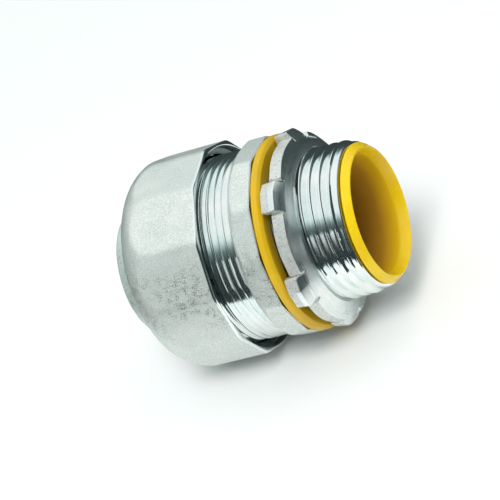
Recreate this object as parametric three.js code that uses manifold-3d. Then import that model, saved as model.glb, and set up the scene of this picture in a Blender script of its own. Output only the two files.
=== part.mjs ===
// Straight liquid-tight conduit fitting: a threaded body with a twelve-sided flange, a domed gland
// nut over a compression ring and a grounding ferrule, an insulated throat, a sealing ring and a
// stamped locknut. The fitting lies on one flat of its gland nut. Its passage runs along +X, from
// the conduit entry to the threaded hub. Millimetres, +Z up, origin in the middle of that flat.

import * as THREE from 'three';
import { mergeVertices } from 'three/addons/utils/BufferGeometryUtils.js';
import Module from 'manifold-3d';

const wasm = await Module();
wasm.setup();

// Driving dimensions. A station is a distance along the passage, measured from the end of the hub
// thread, so everything behind that end is negative. A radius is measured from the passage's axis.
const NUT_FLAT_RADIUS = 18.1; // axis to flat, so it is also the height of the axis
const REST_STATION = -28.8; // middle of the nut's flats
const ROUND_SIDES = 36;
const RUN = 0.3; // clearance between pieces that touch or turn on each other
const DEGREE = Math.PI / 180;

const HUB_PITCH = 1.814; // 14 threads to the inch
const HUB_RADIUS = 13.335; // crest at the large end of the tapered thread
const HUB_TAPER = 1 / 32; // radius lost for each millimetre towards the end
const HUB_RIDGES = 6;
const HUB_DEPTH = 1.0;
const HUB_LARGE_END = -12.2;

const GLAND_PITCH = 1.27; // 20 threads to the inch
const GLAND_RADIUS = 16.2;
const GLAND_RIDGES = 7;
const GLAND_DEPTH = 0.7;

const FLANGE_FRONT = -14.15;
const FLANGE_BACK = -18.4;
const FLANGE_FLAT_RADIUS = 16.8;
const FLANGE_CORNER_RADIUS = 17.3;
const FLANGE_PHASE = -12.0 * DEGREE;
const BODY_BACK = -28.4;
const SEAT = -19.5; // shoulder that the ferrule sits against
const WIRE_BORE = 10.6;
const FERRULE_BORE = 12.2;

const LINER_FRONT = 1.65;
const LINER_BACK = -16.5;
const LINER_RADIUS = 10.95;
const LINER_BORE = 10.35;
const LIP_RADIUS = 12.2;

const NUT_SIDES = 12;
const NUT_FRONT = -23.8;
const COUNTERBORE_RADIUS = 17.6;
const NUT_DOME = -33.7; // where the flats give way to the dome
const NUT_BACK = -40.6;
const NUT_CORNER_RADIUS = 18.6;
const NUT_BORE = 16.5;
const DOME_END_RADIUS = 12.2;
const COLLAR_RADIUS = 10.8;
const COLLAR_BACK = -43.6;
const ENTRY_RADIUS = 9.0;
const DOME_STEPS = 6;

const RING_FRONT = -33.6;
const RING_BACK = -39.3;
const RING_RADIUS = 15.9;
const RING_NOSE = 11.6;

const SPIGOT_BACK = -36.0;
const SPIGOT_RADIUS = 7.4;
const SPIGOT_BORE = 6.4;
const CUP_BACK = -26.6;
const CUP_RADIUS = 11.8;
const CUP_BORE = 10.9;

const SEAL_BACK = FLANGE_FRONT + RUN;
const SEAL_FRONT = -12.3;
const SEAL_BORE = 13.75;
const SEAL_RADIUS = 17.0;

const LOCKNUT_LOBES = 6;
const LOCKNUT_RADIUS = 17.4;
const LOCKNUT_BORE = 14.0;
const LOCKNUT_FRONT = -7.2;
const LOCKNUT_BACK = SEAL_FRONT + RUN;
const LOBE_RADIUS = 16.2;
const LOBE_FRONT = -8.7;
const LOBE_STOCK = 1.9;
const LOBE_ANGLE = 38.5 * DEGREE;
const TAB_FRONT = -9.4;
const TAB_ANGLE = 20 * DEGREE;
const TAB_PHASE = 29.0 * DEGREE;

const ZINC = new THREE.Color(0.62, 0.64, 0.61);
const STEEL = new THREE.Color(0.72, 0.75, 0.74);
const YELLOW = new THREE.Color(0.93, 0.68, 0.02);
const NYLON = new THREE.Color(0.86, 0.85, 0.8);

const group = new THREE.Group();
const axisFrame = new THREE.Group();
axisFrame.position.set(-REST_STATION, 0, NUT_FLAT_RADIUS);
group.add(axisFrame);

function metal(color, roughness) {
  return new THREE.MeshStandardMaterial({ color, roughness, metalness: 1 });
}

function plastic(color, roughness) {
  return new THREE.MeshStandardMaterial({ color, roughness, metalness: 0 });
}

function addPiece(name, geometry, material) {
  const mesh = new THREE.Mesh(geometry, material);
  mesh.name = name;
  axisFrame.add(mesh);
}

// A closed ring about the X axis. Its outline is a list of [station, radius] corners that runs
// backwards along the outside of the section and forwards again along the inside.
function turned(outline) {
  const corners = [...outline, outline[0]].reverse();
  const points = corners.map(([station, radius]) => new THREE.Vector2(radius, station));
  const geometry = new THREE.LatheGeometry(points, ROUND_SIDES);
  geometry.rotateZ(-Math.PI / 2);
  return geometry;
}

// A flat shape in the YZ plane, drawn as (Y, Z), given thickness from one station to another.
function slab(shape, back, front) {
  const settings = { depth: front - back, bevelEnabled: false, curveSegments: 6 };
  const geometry = new THREE.ExtrudeGeometry(shape, settings);
  geometry.rotateX(Math.PI / 2);
  geometry.rotateZ(Math.PI / 2);
  geometry.translate(back, 0, 0);
  return geometry;
}

// A regular polygon with a flat facing up, turned by the phase from +Z towards -Y.
function polygon(sides, flatRadius, phase = 0) {
  const corner = flatRadius / Math.cos(Math.PI / sides);
  const points = [];
  for (let i = 0; i < sides; i += 1) {
    const angle = phase + ((i + 0.5) * 2 * Math.PI) / sides;
    points.push(new THREE.Vector2(-corner * Math.sin(angle), corner * Math.cos(angle)));
  }
  return new THREE.Shape(points);
}

// Part of a flat ring, centred on an angle from +Z towards -Y.
function sector(inner, outer, middle, width) {
  const from = Math.PI / 2 + middle - width / 2;
  const to = from + width;
  const shape = new THREE.Shape();
  shape.absarc(0, 0, outer, from, to, false);
  shape.absarc(0, 0, inner, to, from, true);
  return shape;
}

function toSolid(geometry) {
  geometry.deleteAttribute('normal');
  geometry.deleteAttribute('uv');
  const merged = mergeVertices(geometry, 1e-4);
  const vertProperties = new Float32Array(merged.attributes.position.array);
  const triVerts = new Uint32Array(merged.index.array);
  return new wasm.Manifold(new wasm.Mesh({ numProp: 3, vertProperties, triVerts }));
}

function toGeometry(solid) {
  const mesh = solid.getMesh();
  const geometry = new THREE.BufferGeometry();
  geometry.setAttribute('position', new THREE.BufferAttribute(mesh.vertProperties, 3));
  geometry.setIndex(new THREE.BufferAttribute(mesh.triVerts, 1));
  return geometry;
}

// The crests and roots of a thread, as level ridges that run back from the front station.
function ridges(front, pitch, count, depth, crestAt) {
  const points = [];
  for (let i = 0; i < count; i += 1) {
    const root = front - i * pitch;
    const crest = root - pitch / 2;
    points.push([root, crestAt(root) - depth]);
    points.push([crest, crestAt(crest)]);
  }
  const last = front - count * pitch;
  points.push([last, crestAt(last) - depth]);
  return points;
}

function hubCrest(station) {
  return HUB_RADIUS - HUB_TAPER * (station - HUB_LARGE_END);
}

function makeConnectorBody() {
  const hubFront = HUB_LARGE_END + HUB_RIDGES * HUB_PITCH;
  const hubRoot = hubCrest(HUB_LARGE_END) - HUB_DEPTH;
  const endRadius = hubCrest(0) - 0.4;
  const glandFront = FLANGE_BACK - 0.4;
  const glandRoot = GLAND_RADIUS - GLAND_DEPTH;
  const linerSeat = LINER_RADIUS + RUN;
  const shank = turned([
    [0, endRadius],
    [hubFront + 0.1, endRadius],
    ...ridges(hubFront, HUB_PITCH, HUB_RIDGES, HUB_DEPTH, hubCrest),
    [FLANGE_FRONT - 1, hubRoot],
    [FLANGE_BACK + 1, glandRoot],
    ...ridges(glandFront, GLAND_PITCH, GLAND_RIDGES, GLAND_DEPTH, () => GLAND_RADIUS),
    [BODY_BACK, glandRoot - 0.4],
    [BODY_BACK, FERRULE_BORE + 1],
    [BODY_BACK + 1.4, FERRULE_BORE],
    [SEAT, FERRULE_BORE],
    [SEAT, WIRE_BORE],
    [LINER_BACK - RUN, WIRE_BORE],
    [LINER_BACK - RUN, linerSeat],
    [0, linerSeat],
  ]);
  const disc = turned([
    [FLANGE_FRONT, FLANGE_CORNER_RADIUS - 0.25],
    [FLANGE_FRONT - 0.3, FLANGE_CORNER_RADIUS],
    [FLANGE_BACK + 0.9, FLANGE_CORNER_RADIUS],
    [FLANGE_BACK, FLANGE_FLAT_RADIUS - 0.3],
    [FLANGE_BACK, hubRoot - 0.4],
    [FLANGE_FRONT, hubRoot - 0.4],
  ]);
  const sides = polygon(NUT_SIDES, FLANGE_FLAT_RADIUS, FLANGE_PHASE);
  const prism = slab(sides, FLANGE_BACK - 1, FLANGE_FRONT + 1);
  const flange = toSolid(disc).intersect(toSolid(prism));
  addPiece('connector_body', toGeometry(toSolid(shank).add(flange)), metal(ZINC, 0.35));
}

function makeGlandNut() {
  const dome = [];
  for (let i = 0; i <= DOME_STEPS; i += 1) {
    const angle = (i / DOME_STEPS) * (Math.PI / 2);
    const station = NUT_DOME + (NUT_BACK - NUT_DOME) * Math.sin(angle);
    const rise = (NUT_CORNER_RADIUS - DOME_END_RADIUS) * Math.cos(angle);
    dome.push([station, DOME_END_RADIUS + rise]);
  }
  const round = turned([
    [NUT_FRONT, NUT_CORNER_RADIUS - 0.3],
    [NUT_FRONT - 0.3, NUT_CORNER_RADIUS],
    ...dome,
    [COLLAR_BACK + 1.5, COLLAR_RADIUS + 0.1],
    [COLLAR_BACK + 0.4, COLLAR_RADIUS],
    [COLLAR_BACK, COLLAR_RADIUS - 0.4],
    [COLLAR_BACK, ENTRY_RADIUS + 0.2],
    [COLLAR_BACK + 0.4, ENTRY_RADIUS],
    [RING_BACK - RUN, ENTRY_RADIUS],
    [RING_BACK - RUN, RING_NOSE],
    [RING_FRONT - 0.8, NUT_BORE],
    [NUT_FRONT - 2, NUT_BORE],
    [NUT_FRONT - 1.6, COUNTERBORE_RADIUS - 0.1],
    [NUT_FRONT, COUNTERBORE_RADIUS],
  ]);
  const prism = slab(polygon(NUT_SIDES, NUT_FLAT_RADIUS), COLLAR_BACK - 1, NUT_FRONT + 1);
  addPiece('gland_nut', toGeometry(toSolid(round).intersect(toSolid(prism))), metal(ZINC, 0.4));
}

function makeCompressionRing() {
  const outline = [
    [RING_FRONT, RING_RADIUS],
    [RING_FRONT - 0.7, RING_RADIUS],
    [RING_BACK + 0.3, RING_NOSE],
    [RING_BACK, RING_NOSE - 0.4],
    [RING_BACK, ENTRY_RADIUS + 0.2],
    [RING_FRONT - 0.6, ENTRY_RADIUS + 0.2],
    [RING_FRONT, ENTRY_RADIUS + 0.7],
  ];
  addPiece('compression_ring', turned(outline), plastic(NYLON, 0.5));
}

function makeGroundingFerrule() {
  const front = SEAT - RUN;
  const floor = front - 1.4;
  const outline = [
    [front, CUP_RADIUS],
    [CUP_BACK, CUP_RADIUS],
    [CUP_BACK, CUP_BORE],
    [floor, CUP_BORE],
    [floor, SPIGOT_RADIUS],
    ...ridges(floor - 2, 3, 3, 0.4, () => SPIGOT_RADIUS + 0.4),
    [SPIGOT_BACK + 0.6, SPIGOT_RADIUS],
    [SPIGOT_BACK, SPIGOT_RADIUS - 0.4],
    [SPIGOT_BACK, SPIGOT_BORE],
    [front - 0.6, SPIGOT_BORE],
    [front, SPIGOT_BORE + 0.6],
  ];
  addPiece('grounding_ferrule', turned(outline), metal(STEEL, 0.3));
}

function makeThroatLiner() {
  const outline = [
    [LINER_FRONT, 11.2],
    [LINER_FRONT - 0.5, 11.75],
    [LINER_FRONT - 1.1, LIP_RADIUS - 0.1],
    [RUN, LIP_RADIUS],
    [RUN, LINER_RADIUS],
    [LINER_BACK, LINER_RADIUS],
    [LINER_BACK, LINER_BORE],
    [LINER_FRONT - 0.7, LINER_BORE],
    [LINER_FRONT, LINER_BORE + 0.35],
  ];
  addPiece('throat_liner', turned(outline), plastic(YELLOW, 0.35));
}

function makeSealingRing() {
  const outline = [
    [SEAL_FRONT, SEAL_RADIUS - 0.8],
    [SEAL_FRONT - 0.5, SEAL_RADIUS - 0.2],
    [SEAL_BACK + 0.3, SEAL_RADIUS],
    [SEAL_BACK, SEAL_RADIUS],
    [SEAL_BACK, SEAL_BORE],
    [SEAL_FRONT, SEAL_BORE],
  ];
  addPiece('sealing_ring', turned(outline), plastic(YELLOW, 0.4));
}

function makeLocknut() {
  const lobeBack = LOBE_FRONT - LOBE_STOCK;
  const dish = turned([
    [LOCKNUT_FRONT, LOCKNUT_BORE + 0.4],
    [LOBE_FRONT, LOBE_RADIUS - 0.3],
    [lobeBack, LOBE_RADIUS - 0.3],
    [lobeBack - 0.3, LOBE_RADIUS - 1.2],
    [lobeBack - 0.3, LOCKNUT_BORE],
    [LOCKNUT_FRONT, LOCKNUT_BORE],
  ]);
  let nut = toSolid(dish);
  const period = (2 * Math.PI) / LOCKNUT_LOBES;
  for (let i = 0; i < LOCKNUT_LOBES; i += 1) {
    const tabMiddle = TAB_PHASE + i * period;
    const tab = sector(LOBE_RADIUS - 1, LOCKNUT_RADIUS, tabMiddle, TAB_ANGLE);
    const lobe = sector(LOBE_RADIUS - 1, LOBE_RADIUS, tabMiddle + period / 2, LOBE_ANGLE);
    nut = nut.add(toSolid(slab(tab, LOCKNUT_BACK, TAB_FRONT)));
    nut = nut.add(toSolid(slab(lobe, lobeBack, LOBE_FRONT)));
  }
  addPiece('locknut', toGeometry(nut), metal(STEEL, 0.3));
}

makeConnectorBody();
makeGlandNut();
makeCompressionRing();
makeGroundingFerrule();
makeThroatLiner();
makeSealingRing();
makeLocknut();

export default group;
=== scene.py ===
import math

import bmesh
import bpy
import numpy as np
from mathutils import Matrix, Vector


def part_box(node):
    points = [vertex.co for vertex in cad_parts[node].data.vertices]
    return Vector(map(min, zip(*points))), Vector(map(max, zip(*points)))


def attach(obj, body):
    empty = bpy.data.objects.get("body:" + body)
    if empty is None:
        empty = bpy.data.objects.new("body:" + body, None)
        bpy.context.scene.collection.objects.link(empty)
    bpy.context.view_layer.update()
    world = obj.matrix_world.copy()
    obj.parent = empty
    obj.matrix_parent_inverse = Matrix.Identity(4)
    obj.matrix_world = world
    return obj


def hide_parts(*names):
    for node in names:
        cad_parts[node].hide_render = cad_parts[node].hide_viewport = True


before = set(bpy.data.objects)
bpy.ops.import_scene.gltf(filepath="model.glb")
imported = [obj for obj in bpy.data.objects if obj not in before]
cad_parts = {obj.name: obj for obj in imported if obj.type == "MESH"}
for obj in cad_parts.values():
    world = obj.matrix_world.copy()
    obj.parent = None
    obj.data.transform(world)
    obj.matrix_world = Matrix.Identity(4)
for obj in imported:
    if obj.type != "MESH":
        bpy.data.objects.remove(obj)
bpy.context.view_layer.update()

# Shapes are worked out in millimetres about the fitting's axis. A station is a distance along the
# axis from the end of the hub thread, an angle is turned from +Z towards -Y, and a turn is a whole
# revolution. The CAD frame says where that axis and that end are.
MM = 0.001
BODY_LOW, BODY_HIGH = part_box("connector_body")
AXIS_HEIGHT = (BODY_LOW[2] + BODY_HIGH[2]) / 2
HUB_END = BODY_HIGH[0]
DEGREE = math.pi / 180
SIDES = 12
FLANGE_PHASE = -12.0 * DEGREE
SHARP_ANGLE = 38 * DEGREE
WELD_DISTANCE = 2e-7


def station_of(x):
    """The station in millimetres of a place on the frame's X axis."""
    return (x - HUB_END) / MM


def node_ends(node):
    """The back and front stations of a CAD node."""
    low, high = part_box(node)
    return station_of(low[0]), station_of(high[0])


def node_radius(node):
    """Half the width in millimetres of a CAD node across the fitting's axis."""
    low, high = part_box(node)
    return max(high[1] - low[1], high[2] - low[2]) / 2 / MM


def radius_of(place):
    """How far in millimetres a place in the frame is from the fitting's axis."""
    return math.hypot(place.y, place.z - AXIS_HEIGHT) / MM


# ---------------------------------------------------------------- mesh tools


def angles(count):
    """Evenly spaced angles round the axis, the first straight up."""
    return np.arange(count) * 2 * math.pi / count


def smooth_min(a, b, blend):
    """The lesser of two arrays, with the crease between them rounded over the blend distance."""
    overlap = np.maximum(blend - np.abs(a - b), 0) / blend
    return np.minimum(a, b) - overlap**2 * blend / 4


def smooth_step(value, start, end):
    """Eases from 0 at the start to 1 at the end."""
    t = np.clip((value - start) / (end - start), 0, 1)
    return t * t * (3 - 2 * t)


def rounded(corners, steps=5):
    """An outline from (station, radius, corner radius) corners, each rounded by an arc.

    A corner with no radius, or one that is almost straight, stays a single point.
    """
    count = len(corners)
    points = []
    for i in range(count):
        here = np.array(corners[i][:2], float)
        before = np.array(corners[i - 1][:2], float) - here
        after = np.array(corners[(i + 1) % count][:2], float) - here
        size = corners[i][2]
        before_length = np.linalg.norm(before)
        after_length = np.linalg.norm(after)
        before /= before_length
        after /= after_length
        half = math.acos(float(np.clip(before @ after, -1, 1))) / 2
        if size <= 0 or half > math.radians(88):
            points.append(here)
            continue
        reach = min(size / math.tan(half), before_length * 0.49, after_length * 0.49)
        size = reach * math.tan(half)
        middle = (before + after) / np.linalg.norm(before + after)
        centre = here + middle * size / math.sin(half)
        first = here + before * reach - centre
        last = here + after * reach - centre
        sweep = math.atan2(first[0] * last[1] - first[1] * last[0], first @ last)
        for k in range(steps + 1):
            turn = sweep * k / steps
            c, s = math.cos(turn), math.sin(turn)
            spoke = np.array([c * first[0] - s * first[1], s * first[0] + c * first[1]])
            points.append(centre + spoke)
    return np.array(points)


def closed_ring(name, stations, radii, turns, zones=()):
    """A closed ring mesh from arrays of stations and radii, one row for each outline point.

    The rows of a (first row, last row, rows in a pitch) zone climb one pitch in a turn, so where
    the ring closes each meets the row one pitch further on.
    """
    rows, columns = radii.shape
    x = np.broadcast_to(stations, radii.shape) * MM + HUB_END
    y = -radii * np.sin(turns) * MM
    z = radii * np.cos(turns) * MM + AXIS_HEIGHT
    vertices = np.stack([x, y, z], axis=-1).reshape(-1, 3)
    seam = np.arange(rows)
    for first, last, rise in zones:
        seam[first : last + 1] = np.minimum(np.arange(first, last + 1) + rise, last)
    row = np.arange(rows)[:, None]
    column = np.arange(columns)[None, :]
    next_row = (row + 1) % rows
    next_column = (column + 1) % columns
    at_seam = column == columns - 1
    corners = [row * columns + column, next_row * columns + column]
    corners += [np.where(at_seam, seam[next_row], next_row) * columns + next_column]
    corners += [np.where(at_seam, seam[row], row) * columns + next_column]
    faces = np.stack(corners, axis=-1).reshape(-1, 4)
    mesh = bpy.data.meshes.new(name)
    mesh.from_pydata(vertices.tolist(), [], faces.tolist())
    mesh.update()
    piece = bpy.data.objects.new(name, mesh)
    bpy.context.scene.collection.objects.link(piece)
    face_outwards(mesh)
    if zones:
        close_up(mesh)
    mesh.shade_smooth()
    mesh.set_sharp_from_angle(angle=SHARP_ANGLE)
    return piece


def close_up(mesh):
    """Joins the points that a helical zone's ends leave in one place."""
    shape = bmesh.new()
    shape.from_mesh(mesh)
    bmesh.ops.remove_doubles(shape, verts=shape.verts, dist=WELD_DISTANCE)
    bmesh.ops.dissolve_degenerate(shape, edges=shape.edges, dist=WELD_DISTANCE)
    shape.to_mesh(mesh)
    shape.free()


def helical_rows(back, front, pitch, start, turns):
    """Rows of stations that follow a thread between two stations, and the rows in a pitch.

    The rows gather at the crest, at the start of a pitch, and at the root, in its middle.
    """
    to_root = [0.0, 0.02, 0.05, 0.12, 0.20, 0.29, 0.38, 0.44, 0.48]
    to_crest = [0.52, 0.56, 0.62, 0.71, 0.80, 0.88, 0.95, 0.98]
    steps = np.array(to_root + to_crest)
    first = math.floor((back - start) / pitch) - 1
    last = math.ceil((front - start) / pitch) + 1
    places = np.concatenate([start + pitch * (n + steps) for n in range(first, last)])
    climbing = places[:, None] + pitch * turns[None, :] / (2 * math.pi)
    return np.clip(climbing, back, front), len(steps)


def face_outwards(mesh):
    """Turns a closed mesh's faces outwards, which they are when its volume is above zero."""
    points = np.empty(len(mesh.vertices) * 3)
    mesh.vertices.foreach_get("co", points)
    points = points.reshape(-1, 3) - np.array([HUB_END, 0, AXIS_HEIGHT])
    quads = np.array([polygon.vertices[:] for polygon in mesh.polygons])
    a, b, c, d = (points[quads[:, i]] for i in range(4))
    volume = np.sum(a * np.cross(b, c)) + np.sum(a * np.cross(c, d))
    if volume < 0:
        mesh.flip_normals()


def turned(name, outline, count=192):
    """A plain ring of revolution from an outline of stations and radii."""
    turns = angles(count)
    stations = outline[:, :1]
    radii = np.repeat(outline[:, 1:], count, axis=1)
    return closed_ring(name, stations, radii, turns)


def flats(turns, sides, flat_radius, phase=0.0):
    """The radius of a regular polygon with a flat facing up before it is turned by the phase."""
    period = 2 * math.pi / sides
    off_centre = (turns - phase + period / 2) % period - period / 2
    return flat_radius / np.cos(off_centre)


def thread_cut(stations, turns, pitch, start, crest_flat=0.10, root_flat=0.08):
    """How deep a right-handed V thread is cut, from 0 on its crest to 1 in its root.

    The flats are fractions of the half pitch from crest to root, and both are rounded off.
    """
    phase = (stations - start) / pitch - turns / (2 * math.pi)
    from_crest = np.abs((phase + 0.5) % 1.0 - 0.5) * 2
    cut = np.clip((from_crest - crest_flat) / (1 - crest_flat - root_flat), 0, 1)
    softness = 0.09
    cut = smooth_min(cut, 1.0, softness)
    return -smooth_min(-cut, 0.0, softness)


# ---------------------------------------------------------------- materials


class Nodes:
    """A material's node tree, with short ways to add what the finishes below share."""

    def __init__(self, name):
        self.material = bpy.data.materials.new(name)
        self.material.use_nodes = True
        self.tree = self.material.node_tree
        self.tree.nodes.clear()
        self.shader = self.tree.nodes.new("ShaderNodeBsdfPrincipled")
        output = self.tree.nodes.new("ShaderNodeOutputMaterial")
        self.link(self.shader.outputs[0], output.inputs["Surface"])
        self.place = self.tree.nodes.new("ShaderNodeTexCoord").outputs["Object"]

    def link(self, source, target):
        self.tree.links.new(source, target)

    def coordinates(self):
        node = self.tree.nodes.new("ShaderNodeSeparateXYZ")
        self.link(self.place, node.inputs[0])
        return node.outputs["X"], node.outputs["Y"], node.outputs["Z"]

    def setting(self, socket, value):
        self.shader.inputs[socket].default_value = value

    def stretched(self, scale):
        node = self.tree.nodes.new("ShaderNodeMapping")
        node.inputs["Scale"].default_value = scale
        self.link(self.place, node.inputs["Vector"])
        return node.outputs["Vector"]

    def noise(self, scale, detail=4.0, roughness=0.5, vector=None):
        node = self.tree.nodes.new("ShaderNodeTexNoise")
        node.inputs["Scale"].default_value = scale
        node.inputs["Detail"].default_value = detail
        node.inputs["Roughness"].default_value = roughness
        self.link(vector or self.place, node.inputs["Vector"])
        return node.outputs["Fac"]

    def cells(self, scale):
        node = self.tree.nodes.new("ShaderNodeTexVoronoi")
        node.inputs["Scale"].default_value = scale
        self.link(self.place, node.inputs["Vector"])
        return node.outputs["Distance"]

    def span(self, value, low, high, to_low=0.0, to_high=1.0):
        """The value's place between low and high, carried over to another range and held there."""
        node = self.tree.nodes.new("ShaderNodeMapRange")
        node.inputs["From Min"].default_value = low
        node.inputs["From Max"].default_value = high
        node.inputs["To Min"].default_value = to_low
        node.inputs["To Max"].default_value = to_high
        self.link(value, node.inputs["Value"])
        return node.outputs["Result"]

    def math(self, operation, a, b):
        node = self.tree.nodes.new("ShaderNodeMath")
        node.operation = operation
        for socket, value in zip(node.inputs, (a, b)):
            if isinstance(value, (int, float)):
                socket.default_value = value
            else:
                self.link(value, socket)
        return node.outputs["Value"]

    def mix(self, factor, a, b):
        node = self.tree.nodes.new("ShaderNodeMix")
        node.data_type = "RGBA"
        self.link(factor, node.inputs["Factor"])
        for socket, value in zip((node.inputs[6], node.inputs[7]), (a, b)):
            if isinstance(value, tuple):
                socket.default_value = (*value, 1)
            else:
                self.link(value, socket)
        return node.outputs[2]

    def bump(self, *layers):
        """Bump from (height, depth in metres) layers, one on another."""
        normal = None
        for height, depth in layers:
            node = self.tree.nodes.new("ShaderNodeBump")
            node.inputs["Strength"].default_value = 1.0
            node.inputs["Distance"].default_value = depth
            self.link(height, node.inputs["Height"])
            if normal:
                self.link(normal, node.inputs["Normal"])
            normal = node.outputs["Normal"]
        self.link(normal, self.shader.inputs["Normal"])

    def color(self, value):
        self.link(value, self.shader.inputs["Base Color"])

    def roughness(self, value):
        self.link(value, self.shader.inputs["Roughness"])


def bright_zinc(name, gloss_low, gloss_high):
    """Steel with bright zinc plating, mirror-like or pressed, with faint tool marks round it."""
    m = Nodes(name)
    m.setting("Metallic", 1.0)
    cloud = m.noise(260, 5)
    marks = m.noise(2600, 3, vector=m.stretched((1.0, 0.04, 0.04)))
    m.color(m.mix(m.span(cloud, 0.35, 0.7), (0.83, 0.91, 0.90), (0.95, 0.97, 0.96)))
    m.roughness(m.span(marks, 0.3, 0.7, gloss_low, gloss_high))
    m.bump((marks, 0.0000012), (m.noise(900, 3), 0.000002))
    return m.material


def cast_zinc(name, phase):
    """Satin zinc plating on a cast skin: soft mottling, fine grain, scratches and dark pits.

    The pits and a duller tone gather in a belt low on the casting's sides. Each of the flats,
    which the phase turns from the top, gets painted shade of its own, as if lit differently.
    """
    m = Nodes(name)
    m.setting("Metallic", 0.42)
    m.setting("Specular IOR Level", 0.5)
    mottle = m.noise(210, 6, 0.62)
    cloud = m.noise(75, 3)
    grain = m.noise(4200, 4, 0.7)
    along, across, height = m.coordinates()
    below = m.span(height, 0.0300, 0.0268, 0.08, 1.0)
    belt = m.math("MULTIPLY", below, m.span(height, 0.0170, 0.0215))
    pitted = m.math("MULTIPLY", below, m.span(height, 0.0140, 0.0200, 0.45, 1.0))
    patches = m.math("MULTIPLY", m.span(m.noise(130, 4), 0.22, 0.48), pitted)
    pit_size = m.span(m.noise(900, 2), 0.28, 0.60, 0.05, 0.44)
    pits = m.math("LESS_THAN", m.cells(5200), m.math("MULTIPLY", pit_size, patches))
    scratch = m.span(m.noise(900, 2, vector=m.stretched((0.05, 1.0, 1.0))), 0.64, 0.69)
    scratches = m.math("MULTIPLY", scratch, m.span(cloud, 0.45, 0.6))
    satin = m.mix(m.span(mottle, 0.34, 0.66), (0.57, 0.66, 0.62), (0.86, 0.88, 0.84))
    stained = m.mix(m.span(cloud, 0.42, 0.70, 0.0, 0.7), satin, (0.72, 0.78, 0.75))
    flecks = m.mix(m.span(grain, 0.43, 0.58), (0.46, 0.52, 0.48), (0.92, 0.94, 0.91))
    grained = m.mix(m.span(grain, 0.38, 0.62, 0.25, 0.75), stained, flecks)
    worn = m.mix(scratches, grained, (0.62, 0.67, 0.64))
    dull = m.mix(m.math("MULTIPLY", belt, 0.18), worn, (0.42, 0.50, 0.45))
    # Painted reflection: towards the dome's end and collar the colour turns darker and greener, as a
    # dark reflection there would show it.
    dome_painted_reflection = m.mix(m.span(along, -0.0075, -0.0115, 0.0, 0.65), dull, (0.46, 0.58, 0.53))
    # Painted shade: each flat, counted round the axis from the phase, is made lighter or darker,
    # standing in for light falling differently on each flat.
    turn = m.math("ARCTAN2", m.math("MULTIPLY", across, -1.0), m.math("SUBTRACT", height, AXIS_HEIGHT))
    flat = m.math("DIVIDE", m.math("SUBTRACT", turn, phase), 2 * math.pi / SIDES)
    number = m.math("FLOORED_MODULO", m.math("FLOOR", m.math("ADD", flat, 0.5), 0.0), SIDES)
    wave = m.math("SINE", m.math("ADD", m.math("MULTIPLY", number, 2.0), 2.9), 0.0)
    tone = m.math("MULTIPLY", m.span(wave, -1.0, 1.0, 0.0, 0.24), m.span(along, -0.0090, -0.0050))
    with_facet_shade = m.mix(tone, dome_painted_reflection, (0.50, 0.57, 0.56))
    m.color(m.mix(pits, with_facet_shade, (0.24, 0.26, 0.21)))
    m.roughness(m.span(mottle, 0.3, 0.7, 0.30, 0.46))
    m.bump((mottle, 0.00006), (grain, 0.00003), (m.math("SUBTRACT", 1.0, pits), 0.00005))
    return m.material


def shaded_zinc(name):
    """Zinc inside a narrow recess, painted darker and greener as shade, with soft mottling."""
    m = Nodes(name)
    m.setting("Metallic", 0.7)
    mottle = m.noise(400, 5)
    m.color(m.mix(m.span(mottle, 0.3, 0.7), (0.10, 0.15, 0.14), (0.26, 0.34, 0.32)))
    m.roughness(m.span(mottle, 0.3, 0.7, 0.25, 0.40))
    m.bump((mottle, 0.00003))
    return m.material


def sheared_zinc(name):
    """The torn edge of stamped steel under zinc plating: rough, pale and speckled."""
    m = Nodes(name)
    m.setting("Metallic", 0.6)
    m.setting("Specular IOR Level", 0.5)
    torn = m.noise(1500, 5, 0.65)
    specks = m.span(m.noise(3800, 2), 0.60, 0.72)
    pale = m.mix(m.span(torn, 0.3, 0.7), (0.66, 0.69, 0.66), (0.86, 0.88, 0.84))
    m.color(m.mix(specks, pale, (0.30, 0.31, 0.28)))
    m.roughness(m.span(torn, 0.3, 0.7, 0.42, 0.60))
    m.bump((torn, 0.00006), (m.noise(4200, 3), 0.00002))
    return m.material


def moulded_yellow(name, deep, light, gloss_low, gloss_high):
    """Yellow plastic with faint flow marks and a soft gloss."""
    m = Nodes(name)
    flow = m.noise(140, 4)
    fine = m.noise(2200, 3)
    m.color(m.mix(m.span(flow, 0.35, 0.68), deep, light))
    m.roughness(m.span(flow, 0.3, 0.7, gloss_low, gloss_high))
    m.setting("Subsurface Weight", 0.08)
    m.setting("Subsurface Radius", (0.9, 0.45, 0.05))
    m.setting("Subsurface Scale", 0.0012)
    m.setting("Specular IOR Level", 0.5)
    m.bump((flow, 0.00002), (fine, 0.000006))
    return m.material


def shaded_bore(name, lip, middle, deep):
    """The liner's wall: yellow at the lip, then painted shade makes it browner and darker with depth.
    """
    m = Nodes(name)
    flow = m.noise(140, 4)
    along, _, _ = m.coordinates()
    depth = m.math("SUBTRACT", HUB_END, along)
    outer = m.mix(m.span(depth, -0.0004, 0.0035), lip, middle)
    m.color(m.mix(m.span(depth, 0.0025, 0.012), outer, deep))
    m.roughness(m.span(flow, 0.3, 0.7, 0.30, 0.45))
    m.setting("Specular IOR Level", 0.35)
    m.bump((flow, 0.00002), (m.noise(2200, 3), 0.000006))
    return m.material


def natural_nylon(name):
    """Off-white nylon, slightly translucent."""
    m = Nodes(name)
    cloud = m.noise(220, 4)
    m.color(m.mix(m.span(cloud, 0.35, 0.68), (0.78, 0.75, 0.66), (0.86, 0.84, 0.77)))
    m.roughness(m.span(cloud, 0.3, 0.7, 0.40, 0.55))
    m.setting("Subsurface Weight", 0.2)
    m.setting("Subsurface Scale", 0.0015)
    m.bump((m.noise(1800, 3), 0.000012))
    return m.material


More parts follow.
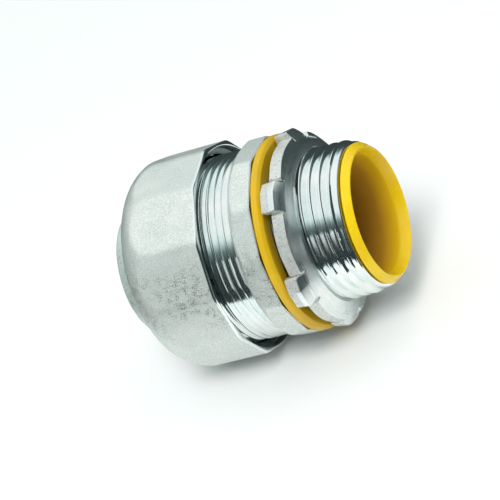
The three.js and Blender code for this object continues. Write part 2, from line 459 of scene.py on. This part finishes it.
BRIGHT = bright_zinc("bright_zinc", 0.05, 0.16)
PRESSED = bright_zinc("pressed_zinc", 0.25, 0.36)
NUT_CAST = cast_zinc("nut_cast_zinc", 0.0)
FLANGE_CAST = cast_zinc("flange_cast_zinc", FLANGE_PHASE)
SHADED = shaded_zinc("shaded_zinc")
SHEARED = sheared_zinc("sheared_zinc")
LINER_YELLOW = moulded_yellow("liner_yellow", (0.90, 0.58, 0.004), (0.98, 0.70, 0.008), 0.22, 0.36)
SEAL_YELLOW = moulded_yellow("seal_yellow", (0.67, 0.40, 0.004), (0.76, 0.48, 0.006), 0.34, 0.50)
LINER_BORE_SHADE = shaded_bore("liner_bore_painted_shade", (0.95, 0.64, 0.006), (0.66, 0.35, 0.03), (0.33, 0.17, 0.03))
NYLON = natural_nylon("natural_nylon")


def finish_piece(piece, body, node, slot, *materials):
    """Gives a piece its materials, ties it to its body and hides the CAD node it stands for."""
    for material in materials:
        piece.data.materials.append(material)
    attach(piece, body)
    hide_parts(node)


# ---------------------------------------------------------------- connector body

BODY_BACK = node_ends("connector_body")[0]
HUB_PITCH = 1.814
HUB_CREST_LARGE = 13.335
HUB_LARGE_END = -12.2
HUB_TAPER = 1 / 32
HUB_DEPTH = 1.15
HUB_START = -1.517
GLAND_PITCH = 1.27
GLAND_CREST = 16.2
GLAND_DEPTH = 0.75
GLAND_START = -22.624
FLANGE_BACK = -18.4
FLANGE_FRONT = -14.15
FLANGE_FLAT = 16.8
FLANGE_CORNER = 17.3
FLANGE_EDGE = 0.28
END_BAND = 0.45
BAND_BACK = -1.45
BAND_FRONT = -1.05
WIRE_BORE = 10.6
LINER_SEAT = 11.25
LINER_END = -16.8
FERRULE_BORE = 12.2
FERRULE_SEAT = -19.5


def hub_crest(stations):
    """The radius of the tapered hub's thread crests."""
    return HUB_CREST_LARGE - HUB_TAPER * (stations - HUB_LARGE_END)


def hub_thread(stations, turns):
    """The hub's surface: a tapered V thread that runs out into a plain band at the end."""
    fade = smooth_step(stations, BAND_BACK, BAND_FRONT)
    threaded = hub_crest(stations) - HUB_DEPTH * thread_cut(stations, turns, HUB_PITCH, HUB_START)
    return threaded * (1 - fade) + (hub_crest(stations) - END_BAND) * fade


def make_connector_body():
    turns = angles(360)
    stations = []
    radii = []
    zones = []

    def add(places, radius_at):
        for station in places:
            stations.append(station + 0 * turns)
            radii.append(radius_at(station) + 0 * turns)

    def add_thread(back, front, pitch, start, radius_at):
        climbing, rise = helical_rows(back, front, pitch, start, turns)
        zones.append((len(stations), len(stations) + len(climbing) - 1, rise))
        for row in climbing:
            stations.append(row)
            radii.append(radius_at(row))

    def gland_surface(places):
        cut = GLAND_DEPTH * thread_cut(places, turns, GLAND_PITCH, GLAND_START)
        lead = GLAND_CREST - 1.1 + (places - BODY_BACK) * 1.0
        return smooth_min(GLAND_CREST - cut, lead, 0.1)

    def flange_surface(station):
        shape = smooth_min(flats(turns, SIDES, FLANGE_FLAT, FLANGE_PHASE), FLANGE_CORNER, 0.02)
        back_chamfer = FLANGE_FLAT - 0.35 + (station - FLANGE_BACK) * 0.9
        front_inset = 0.22 * smooth_step(station, FLANGE_FRONT - FLANGE_EDGE, FLANGE_FRONT) ** 2
        return smooth_min(shape, back_chamfer, 0.08) - front_inset

    add_thread(BODY_BACK + 0.05, FLANGE_BACK - 0.15, GLAND_PITCH, GLAND_START, gland_surface)
    add([FLANGE_BACK - 0.12, FLANGE_BACK - 0.02], lambda s: GLAND_CREST - 0.45)
    add([FLANGE_BACK], lambda s: GLAND_CREST - 0.3)
    add([FLANGE_BACK], lambda s: FLANGE_FLAT - 0.45)
    add(np.linspace(FLANGE_BACK + 0.02, FLANGE_BACK + 1.2, 16), flange_surface)
    add(np.linspace(FLANGE_BACK + 1.4, FLANGE_FRONT - 0.4, 8), flange_surface)
    add(np.linspace(FLANGE_FRONT - 0.3, FLANGE_FRONT, 9), flange_surface)
    add([FLANGE_FRONT], lambda s: FLANGE_FLAT - 0.6)
    add([FLANGE_FRONT], lambda s: 12.5)
    add([FLANGE_FRONT + 0.1], lambda s: 12.3)
    add_thread(FLANGE_FRONT + 0.3, -0.42, HUB_PITCH, HUB_START, lambda s: hub_thread(s, turns))
    end_crest = hub_crest(0) - END_BAND
    add([-0.34, -0.2], lambda s: end_crest - 0.03)
    add([-0.08], lambda s: end_crest - 0.14)
    add([0.0], lambda s: end_crest - 0.3)
    bore = rounded([
        (0.0, LINER_SEAT, 0.1),
        (LINER_END, LINER_SEAT, 0.1),
        (LINER_END, WIRE_BORE, 0.2),
        (FERRULE_SEAT, WIRE_BORE, 0.3),
        (FERRULE_SEAT, FERRULE_BORE, 0.15),
        (BODY_BACK + 1.4, FERRULE_BORE, 0.3),
        (BODY_BACK, FERRULE_BORE + 1.0, 0.15),
        (BODY_BACK, GLAND_CREST - 1.2, 0.05),
        (-5.0, 30.0, 0.0),
    ])[:-1]
    for station, radius in bore:
        add([station], lambda s: radius)
    piece = closed_ring("connector_body_shell", np.array(stations), np.array(radii), turns, zones)
    finish_piece(piece, "fitting", "connector_body", "plated_body", BRIGHT, FLANGE_CAST)
    for polygon in piece.data.polygons:
        station = station_of(polygon.center.x)
        if FLANGE_BACK + 0.01 < station < FLANGE_FRONT - 0.01:
            polygon.material_index = 1
    return piece


# ---------------------------------------------------------------- gland nut

NUT_BACK, NUT_FRONT = node_ends("gland_nut")
NUT_FLAT = node_radius("gland_nut")
NUT_CORNER = 18.6
NUT_DOME = -33.7
NUT_EDGE = 0.35
DOME_END = -40.6
DOME_END_RADIUS = 12.2
COLLAR = 10.8
ENTRY = 9.0
NUT_BORE = 16.42
COUNTERBORE = 17.62
COUNTERBORE_DEPTH = 1.6
RING_BACK, RING_FRONT = node_ends("compression_ring")
RING_NOSE = 11.5
RING_RADIUS = 15.9
RING_BORE = 9.2


def make_gland_nut():
    """A twelve-sided barrel that rounds over into a dome, with a thread and a mouth inside."""
    turns = angles(360)
    rise = np.arange(38) / 39 * math.pi / 2
    dome_stations = NUT_DOME + (DOME_END - NUT_DOME) * np.sin(rise)
    dome_radii = DOME_END_RADIUS + (NUT_CORNER - DOME_END_RADIUS) * np.cos(rise)
    dome = np.stack([dome_stations, dome_radii], axis=1)
    collar = rounded([
        (DOME_END + 0.02, DOME_END_RADIUS + 1.6, 0.0),
        (DOME_END, DOME_END_RADIUS, 0.3),
        (NUT_BACK + 1.5, COLLAR + 0.05, 0.5),
        (NUT_BACK, COLLAR, 0.4),
        (NUT_BACK, ENTRY, 0.25),
        (RING_BACK - 0.3, ENTRY, 0.2),
        (RING_BACK - 0.3, RING_NOSE + 0.1, 0.2),
        (RING_FRONT - 0.8, NUT_BORE, 0.3),
        (NUT_FRONT - 2.0, NUT_BORE, 0.0),
    ])
    mouth = np.array([
        (NUT_FRONT - COUNTERBORE_DEPTH - 0.05, COUNTERBORE - 0.3),
        (NUT_FRONT - COUNTERBORE_DEPTH + 0.1, COUNTERBORE - 0.06),
        (NUT_FRONT - 0.12, COUNTERBORE),
        (NUT_FRONT - 0.03, COUNTERBORE + 0.04),
        (NUT_FRONT, COUNTERBORE + 0.1),
    ])
    rim = np.array([
        (NUT_FRONT, NUT_CORNER - 0.45),
        (NUT_FRONT - 0.04, NUT_CORNER - 0.28),
        (NUT_FRONT - 0.11, NUT_CORNER - 0.12),
        (NUT_FRONT - 0.22, NUT_CORNER - 0.03),
        (NUT_FRONT - NUT_EDGE, NUT_CORNER),
    ])
    barrel = np.array([(s, NUT_CORNER) for s in np.linspace(NUT_FRONT - 0.8, NUT_DOME + 0.2, 12)])
    thread_end = NUT_FRONT - COUNTERBORE_DEPTH - 0.1
    inner_thread = np.array([(s, NUT_BORE) for s in np.arange(RING_FRONT - 0.2, thread_end, 0.09)])
    outline = np.concatenate([rim, barrel, dome, collar, inner_thread, mouth])
    stations = outline[:, :1]
    radii = np.repeat(outline[:, 1:], len(turns), axis=1)
    polygon = flats(turns, SIDES, NUT_FLAT)
    inset = np.clip(stations - (NUT_FRONT - NUT_EDGE), 0, 1) ** 2 * 2.0
    outer_rows = len(rim) + len(barrel) + len(dome)
    shaped = smooth_min(radii, polygon[None, :] - inset, 0.14)
    radii[:outer_rows] = shaped[:outer_rows]
    first = outer_rows + len(collar)
    last = first + len(inner_thread)
    cut = thread_cut(stations[first:last], turns[None, :], GLAND_PITCH, GLAND_START)
    radii[first:last] = NUT_BORE + 0.45 * cut
    piece = closed_ring("gland_nut_casting", stations, radii, turns)
    finish_piece(piece, "gland", "gland_nut", "plated_casting", NUT_CAST, BRIGHT, SHADED)
    for polygon in piece.data.polygons:
        station = station_of(polygon.center.x)
        radius = radius_of(polygon.center)
        in_thread = station > RING_FRONT and radius < NUT_BORE + 0.6
        in_mouth = station > NUT_FRONT - COUNTERBORE_DEPTH - 0.4 and radius < COUNTERBORE + 0.02
        on_edge = station > NUT_FRONT - 0.3 and radius > COUNTERBORE + 0.02
        # The mouth's counterbore takes the zinc with painted shade.
        if in_mouth:
            polygon.material_index = 2
        elif in_thread or on_edge:
            polygon.material_index = 1
    return piece


# ---------------------------------------------------------------- compression ring and ferrule


CUP_BACK = -26.6
CUP_RADIUS = 11.8
CUP_BORE = 10.9
CUP_FLOOR = 1.4
SPIGOT_CREST = 7.8
SPIGOT_DEPTH = 0.4
SPIGOT_PITCH = 2.6
SPIGOT_BORE = 6.4


def make_compression_ring():
    outline = rounded([
        (RING_FRONT, RING_RADIUS, 0.25),
        (RING_FRONT - 0.7, RING_RADIUS, 0.4),
        (RING_BACK + 0.1, RING_NOSE, 0.3),
        (RING_BACK, RING_BORE, 0.25),
        (RING_FRONT - 0.6, RING_BORE, 0.2),
        (RING_FRONT, RING_BORE + 0.6, 0.15),
    ])
    piece = turned("compression_ring_nylon", outline)
    finish_piece(piece, "gland_ring", "compression_ring", "white_nylon", NYLON)


def make_ferrule():
    """A cup that faces the conduit, with a coarse-threaded spigot that goes inside it."""
    back, front = node_ends("grounding_ferrule")
    floor = front - CUP_FLOOR
    turns = angles(192)
    cup = rounded([
        (front, SPIGOT_BORE + 0.2, 0.3),
        (front, CUP_RADIUS, 0.35),
        (CUP_BACK, CUP_RADIUS, 0.2),
        (CUP_BACK, CUP_BORE, 0.2),
        (floor, CUP_BORE, 0.3),
        (floor, 7.5, 0.3),
        (floor - 0.8, 7.45, 0.0),
    ])
    spigot = np.array([(s, SPIGOT_CREST) for s in np.arange(floor - 1.0, back + 0.8, -0.12)])
    end = rounded([
        (back + 0.7, SPIGOT_CREST - SPIGOT_DEPTH, 0.0),
        (back, 7.1, 0.15),
        (back, SPIGOT_BORE, 0.2),
        (front - 0.6, SPIGOT_BORE, 0.3),
        (front, 30.0, 0.0),
    ])[:-2]
    outline = np.concatenate([cup, spigot, end])
    stations = outline[:, :1]
    radii = np.repeat(outline[:, 1:], len(turns), axis=1)
    first = len(cup)
    last = first + len(spigot)
    cut = thread_cut(stations[first:last], turns[None, :], SPIGOT_PITCH, floor, 0.2, 0.3)
    radii[first:last] = SPIGOT_CREST - SPIGOT_DEPTH * cut
    piece = closed_ring("grounding_ferrule_cup", stations, radii, turns)
    finish_piece(piece, "ferrule", "grounding_ferrule", "plated_steel", BRIGHT)


# ---------------------------------------------------------------- yellow plastics


LINER_OUTSIDE = 10.95
LINER_INSIDE = 10.35
LIP_BACK = 0.3
LIP_RADIUS = 12.2
SEAL_OUTSIDE = 17.0
SEAL_INSIDE = 13.75


def make_throat_liner():
    """A thin sleeve with a rounded lip over the end of the hub, flared into the bore."""
    back, front = node_ends("throat_liner")
    outline = rounded([
        (front, 11.25, 0.5),
        (front - 1.0, LIP_RADIUS - 0.15, 0.9),
        (LIP_BACK, LIP_RADIUS, 0.12),
        (LIP_BACK, LINER_OUTSIDE, 0.1),
        (back, LINER_OUTSIDE, 0.15),
        (back, LINER_INSIDE, 0.2),
        (front - 1.9, LINER_INSIDE, 1.6),
        (front, 11.0, 0.45),
    ], 8)
    piece = turned("throat_liner_insert", outline, 256)
    finish_piece(piece, "fitting", "throat_liner", "yellow_liner", LINER_YELLOW, LINER_BORE_SHADE)
    # The bore's deeper wall takes the yellow with painted shade.
    for polygon in piece.data.polygons:
        inside = radius_of(polygon.center) < LINER_INSIDE + 0.35
        if inside and station_of(polygon.center.x) < front - 1.5:
            polygon.material_index = 1


def make_sealing_ring():
    back, front = node_ends("sealing_ring")
    outline = rounded([
        (front, SEAL_OUTSIDE - 0.7, 0.5),
        (front - 0.5, SEAL_OUTSIDE, 0.5),
        (back, SEAL_OUTSIDE, 0.15),
        (back, SEAL_INSIDE, 0.1),
        (front, SEAL_INSIDE, 0.25),
    ], 8)
    piece = turned("sealing_ring_moulding", outline, 256)
    finish_piece(piece, "seal", "sealing_ring", "yellow_seal", SEAL_YELLOW)


# ---------------------------------------------------------------- locknut

LOBES = 6
TAB_PHASE = 29.0 * DEGREE
TAB_ANGLE = 19.4 * DEGREE
LOCKNUT_BORE = 13.25
THREAD_GAP = 0.08
LOBE_RADIUS = 16.2
LOBE_EDGE = 2.1
TAB_RADIUS = 17.3
TAB_BEND = -9.6
SHEAR_STATION = -9.7


def make_locknut():
    """A dished stamping whose six tabs, between six lobes, are bent back to bite the box.

    Each row of the mesh has a place for the lobes and another for the tabs, and the angle from
    the nearest tab's middle chooses between them.
    """
    back, front = node_ends("locknut")
    turns = angles(1440)
    period = 2 * math.pi / LOBES
    off_tab = (turns - TAB_PHASE + period / 2) % period - period / 2
    beyond = np.abs(off_tab) - TAB_ANGLE / 2
    tab = 1 - smooth_step(beyond, -0.3 * DEGREE, 0.3 * DEGREE)
    slit = 0.5 * np.exp(-(((beyond - 0.7 * DEGREE) / (0.6 * DEGREE)) ** 2))
    shortened = 5.5 * np.clip(-off_tab - 2 * DEGREE, 0, None)
    curl = 0.2 * smooth_step(np.abs(off_tab), 27 * DEGREE, 13 * DEGREE)
    rows = []
    kinds = []

    def add(station, radius, kind):
        rows.append((station + 0 * turns, radius + 0 * turns))
        kinds.append(kind)

    def cone(t):
        """A place on the dish, from the bore at 0 to the lobes' rim at 1."""
        radius = LOCKNUT_BORE + 0.1 + (LOBE_RADIUS - LOCKNUT_BORE - 0.16) * t
        return front - 0.3 - 1.25 * t**0.85, radius

    def add_both(lobe_place, tab_place, kind):
        lobe_radius = lobe_place[1] - slit * smooth_step(lobe_place[1], LOBE_RADIUS - 1, LOBE_RADIUS)
        tab_radius = tab_place[1] - shortened * smooth_step(tab_place[1], 15.8, 17.0)
        station = (lobe_place[0] + curl) * (1 - tab) + tab_place[0] * tab
        add(station, lobe_radius * (1 - tab) + tab_radius * tab, kind)

    for station in np.arange(front - 2.0, front - 0.35, 0.08):
        add(station, hub_thread(station + 0 * turns, turns) + THREAD_GAP, "face")
    split = 0.72
    for t in np.linspace(0, split, 9):
        station, radius = cone(t)
        add(station, radius, "face")
    bend = rounded([
        (*cone(split), 0.0),
        (TAB_BEND, TAB_RADIUS, 0.3),
        (back, TAB_RADIUS - 0.35, 0.0),
        (-11.0, 10.0, 0.0),
    ], 6)[1:-1]
    along = np.concatenate([[0], np.cumsum(np.linalg.norm(np.diff(bend, axis=0), axis=1))])
    samples = np.linspace(0, along[-1], 28)
    tab_places = np.stack([np.interp(samples, along, bend[:, k]) for k in range(2)], axis=1)
    face_count = 12
    lobe_places = [cone(split + (1 - split) * k / face_count) for k in range(1, face_count + 1)]
    lobe_front = cone(1)[0] - 0.05
    rim_stations = np.linspace(lobe_front, lobe_front - LOBE_EDGE, len(tab_places) - face_count)
    lobe_places += [(station, LOBE_RADIUS) for station in rim_stations]
    for k, (lobe_place, tab_place) in enumerate(zip(lobe_places, tab_places)):
        add_both(lobe_place, tab_place, "face" if k < face_count else "rim")
    lobe_back = rim_stations[-1]
    inside = [
        ((lobe_back - 0.05, LOBE_RADIUS - 0.06), (back, 16.85)),
        ((lobe_back - 0.05, 15.9), (back, 16.3)),
        ((lobe_back, 15.6), (back, 15.5)),
        ((lobe_back + 0.15, 15.2), (back + 0.5, 15.2)),
        ((lobe_back + 0.35, 14.8), (lobe_back + 0.1, 14.8)),
        ((front - 2.15, LOCKNUT_BORE + 0.7), (front - 2.15, LOCKNUT_BORE + 0.7)),
        ((front - 2.1, LOCKNUT_BORE + 0.2), (front - 2.1, LOCKNUT_BORE + 0.2)),
    ]
    for lobe_place, tab_place in inside:
        add_both(lobe_place, tab_place, "back")
    stations = np.array([row[0] for row in rows])
    radii = np.array([row[1] for row in rows])
    piece = closed_ring("locknut_stamping", stations, radii, turns)
    finish_piece(piece, "locknut", "locknut", "plated_steel", PRESSED, SHEARED)
    columns = len(turns)
    for index, polygon in enumerate(piece.data.polygons):
        row, column = divmod(index, columns)
        on_lobe_rim = kinds[row] == "rim" and tab[column] < 0.5
        on_tab_rim = kinds[row] == "rim" and stations[row, column] < SHEAR_STATION
        on_side = 0.02 < tab[column] < 0.98 and kinds[row] != "face"
        if on_lobe_rim or on_tab_rim or on_side:
            polygon.material_index = 1
    return piece


make_connector_body()
make_gland_nut()
make_compression_ring()
make_ferrule()
make_throat_liner()
make_sealing_ring()
make_locknut()

# ---------------------------------------------------------------- floor, lights and camera


TABLE_RADIUS = 0.052
FLOOR_RADIUS = 2.3
WALL_HEIGHT = 1.2
ROOF_HEIGHT = 1.6
TENT_TOP = (0.0, 0.2, 0.98)


def stage_mesh(name, rings, columns, material):
    """A surface of revolution about the world's Z axis, from (radius, height) rings."""
    vertices = []
    for radius, height in rings:
        for k in range(columns):
            turn = 2 * math.pi * k / columns
            vertices.append((radius * math.cos(turn), radius * math.sin(turn), height))
    faces = []
    for row in range(len(rings) - 1):
        for k in range(columns):
            after = (k + 1) % columns
            low, high = row * columns, (row + 1) * columns
            faces.append((low + k, low + after, high + after, high + k))
    mesh = bpy.data.meshes.new(name)
    mesh.from_pydata(vertices, [], faces)
    mesh.materials.append(material)
    piece = bpy.data.objects.new(name, mesh)
    bpy.context.scene.collection.objects.link(piece)
    return piece


def make_floor():
    """A pale floor and backdrop. Only the floor near the fitting shows in its polished surfaces."""
    paint = Nodes("floor_paint")
    cloud = paint.span(paint.noise(3, 2), 0.3, 0.7)
    paint.color(paint.mix(cloud, (0.93, 0.93, 0.93), (0.95, 0.95, 0.95)))
    paint.setting("Roughness", 0.9)
    paint.setting("Specular IOR Level", 0.1)
    stage_mesh("near_floor", [(0.0001, 0.0), (TABLE_RADIUS, 0.0)], 96, paint.material)
    far = stage_mesh("far_floor", [(TABLE_RADIUS, 0.0), (FLOOR_RADIUS, 0.0)], 96, paint.material)
    far.visible_glossy = False
    glow = bpy.data.materials.new("backdrop_glow")
    glow.use_nodes = True
    glow.node_tree.nodes.clear()
    emission = glow.node_tree.nodes.new("ShaderNodeEmission")
    output = glow.node_tree.nodes.new("ShaderNodeOutputMaterial")
    glow.node_tree.links.new(emission.outputs[0], output.inputs["Surface"])
    emission.inputs["Strength"].default_value = 1.0
    wall = [(FLOOR_RADIUS, -0.01), (FLOOR_RADIUS, WALL_HEIGHT), (0.01, ROOF_HEIGHT)]
    backdrop = stage_mesh("backdrop", wall, 96, glow)
    backdrop.visible_glossy = False
    backdrop.visible_diffuse = False
    backdrop.visible_shadow = False
    backdrop.visible_transmission = False


def aim(obj, place, target):
    """Puts a light at a place and turns it to face the target."""
    obj.location = place
    obj.rotation_euler = (Vector(target) - Vector(place)).to_track_quat("-Z", "Y").to_euler()


def area_light(name, place, target, width, height, power, reflected=False):
    """A soft light, which shows in polished surfaces only if it is to be reflected."""
    light = bpy.data.lights.new(name, "AREA")
    light.shape = "RECTANGLE"
    light.size = width
    light.size_y = height
    light.energy = power
    obj = bpy.data.objects.new(name, light)
    bpy.context.scene.collection.objects.link(obj)
    obj.visible_glossy = reflected
    aim(obj, place, target)


def make_world():
    """A studio tent, pale round its top and dark lower down on every side."""
    world = bpy.data.worlds.new("studio_tent")
    world.use_nodes = True
    tree = world.node_tree
    direction = tree.nodes.new("ShaderNodeTexCoord").outputs["Generated"]
    height = tree.nodes.new("ShaderNodeVectorMath")
    height.operation = "DOT_PRODUCT"
    height.inputs[1].default_value = TENT_TOP
    tree.links.new(direction, height.inputs[0])
    span = tree.nodes.new("ShaderNodeMapRange")
    span.inputs["From Min"].default_value = -1.0
    span.inputs["From Max"].default_value = 1.0
    tree.links.new(height.outputs["Value"], span.inputs["Value"])
    ramp = tree.nodes.new("ShaderNodeValToRGB")
    tree.links.new(span.outputs["Result"], ramp.inputs["Fac"])
    stops = [
        (0.00, (0.02, 0.03, 0.03)),
        (0.63, (0.045, 0.062, 0.062)),
        (0.71, (0.15, 0.21, 0.205)),
        (0.80, (0.82, 0.91, 0.90)),
        (1.00, (1.00, 1.00, 1.00)),
    ]
    elements = ramp.color_ramp.elements
    while len(elements) < len(stops):
        elements.new(0.5)
    for element, (position, color) in zip(elements, stops):
        element.position = position
        element.color = (*color, 1)
    background = tree.nodes["Background"]
    tree.links.new(ramp.outputs["Color"], background.inputs["Color"])
    background.inputs["Strength"].default_value = 1.0
    bpy.context.scene.world = world


def make_lights():
    """Two softboxes, and two low cards that streak the threads' shaded side."""
    centre = (0.0, 0.0, AXIS_HEIGHT)
    area_light("key_softbox", (0.15, -0.45, 0.70), centre, 0.35, 0.35, 3.9)
    area_light("side_softbox", (0.8, 0.25, 0.10), centre, 0.55, 0.40, 0.35)
    area_light("low_card", (-0.45, -0.36, 0.08), centre, 0.30, 0.16, 0.13, reflected=True)
    area_light("strip_card", (-0.264, -0.54, 0.09), centre, 0.13, 0.38, 0.14, reflected=True)
    make_world()


VIEW_AZIMUTH = 31.06
VIEW_ELEVATION = 32.41
VIEW_ROLL = -32.45
VIEW_DISTANCE = 0.5
VIEW_TARGET = (0.00964, -0.00792, 0.02298)
FOCAL_LENGTH = 216.0
SENSOR_WIDTH = 36.0


def make_camera():
    """A long lens at the viewing angle. The azimuth is turned from -Y towards +X."""
    azimuth = math.radians(VIEW_AZIMUTH)
    elevation = math.radians(VIEW_ELEVATION)
    backwards = Vector((
        math.sin(azimuth) * math.cos(elevation),
        -math.cos(azimuth) * math.cos(elevation),
        math.sin(elevation),
    ))
    camera = bpy.data.cameras.new("camera")
    camera.lens = FOCAL_LENGTH
    camera.sensor_width = SENSOR_WIDTH
    camera.clip_start = 0.01
    camera.clip_end = 30
    obj = bpy.data.objects.new("camera", camera)
    bpy.context.scene.collection.objects.link(obj)
    level = (-backwards).to_track_quat("-Z", "Y").to_matrix().to_4x4()
    place = Matrix.Translation(Vector(VIEW_TARGET) + backwards * VIEW_DISTANCE)
    obj.matrix_world = place @ level @ Matrix.Rotation(math.radians(VIEW_ROLL), 4, "Z")
    bpy.context.scene.camera = obj


make_floor()
make_lights()
make_camera()
bpy.context.scene.view_settings.view_transform = "Standard"
